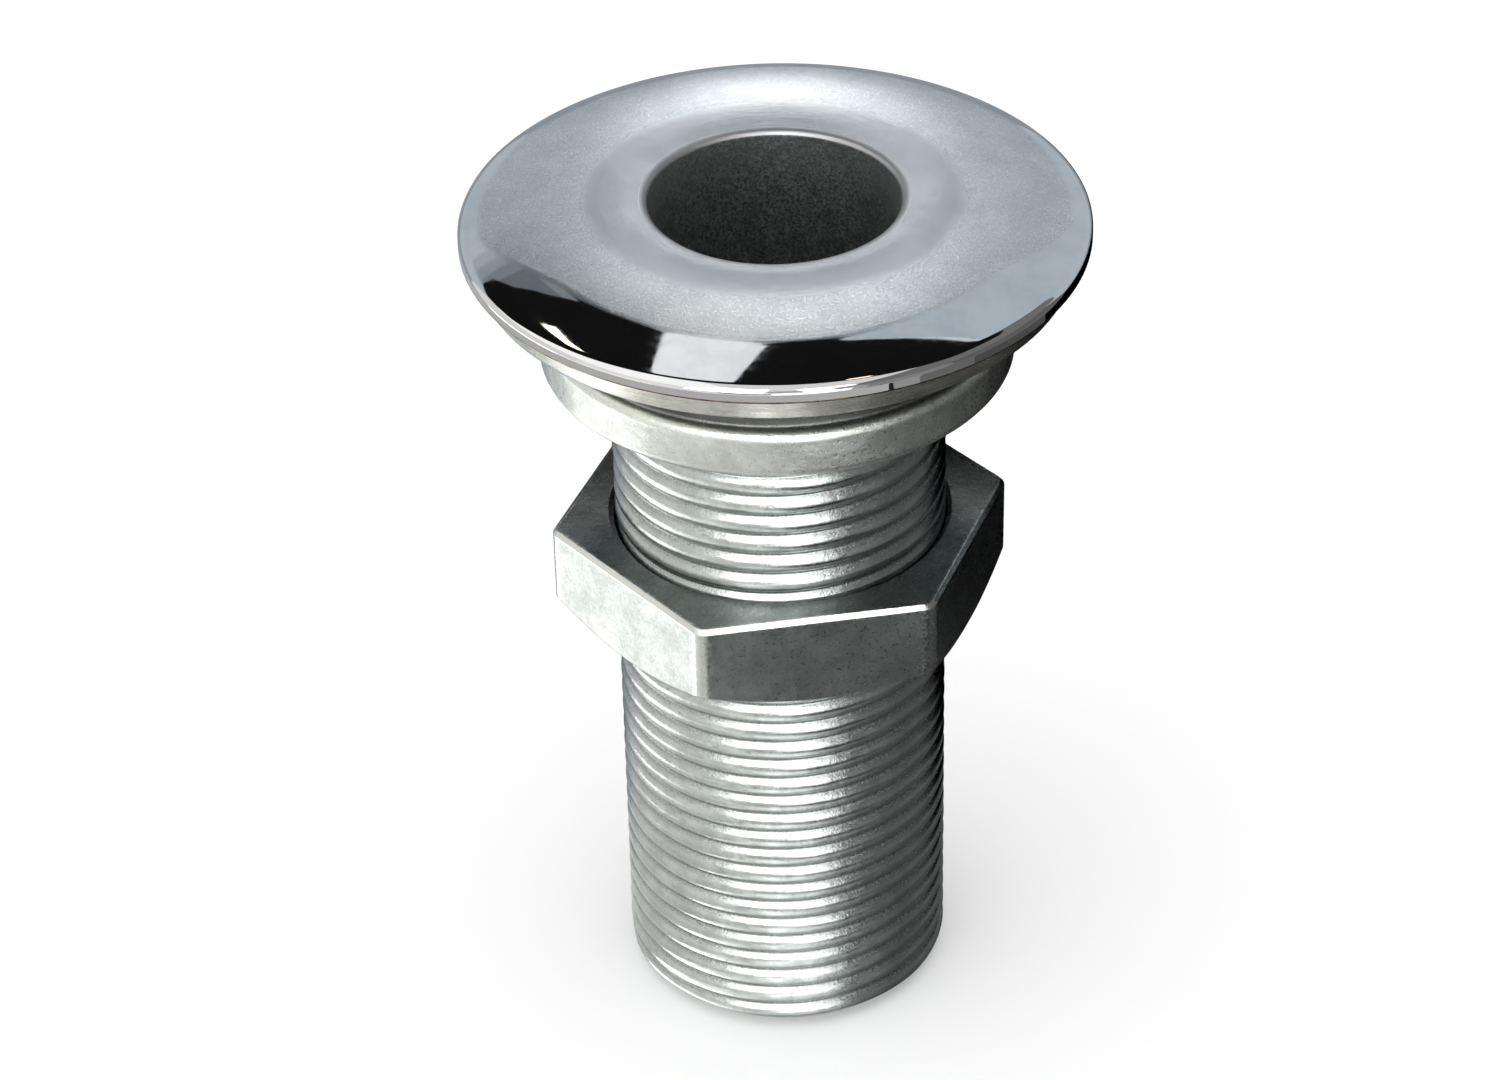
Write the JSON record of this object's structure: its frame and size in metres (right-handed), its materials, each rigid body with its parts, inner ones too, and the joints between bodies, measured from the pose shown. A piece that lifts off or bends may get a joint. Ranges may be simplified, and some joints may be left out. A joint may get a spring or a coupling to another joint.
{
  "type": "thru hull fitting",
  "caption": "Boat skin fitting: domed round flange with a central water way, a centring collar and a long threaded barrel with a hexagonal clamping nut.",
  "frame": {"origin": "on the fitting's axis, in the plane of the flange's flat seat that rests on the outside of the hull", "axes": "+Z along the water way, out of the hull through the flange; the barrel runs down along -Z; +X and +Y are any two directions across the fitting"},
  "size_m": [0.0486, 0.0486, 0.0722],
  "materials": {
    "body_plated": "chrome plated, polished flange, satin collar and thread",
    "nut_plated": "chrome plated over an unpolished casting, satin"
  },
  "bodies": {
    "body": {"body": "body_plated"},
    "nut": {"nut": "nut_plated"}
  },
  "joints": [
    {"name": "nut_travel", "type": "slide", "parent": "body", "child": "nut", "axis": [0, 0, 1], "range_m": [-0.0355, 0.0147]}
  ]
}
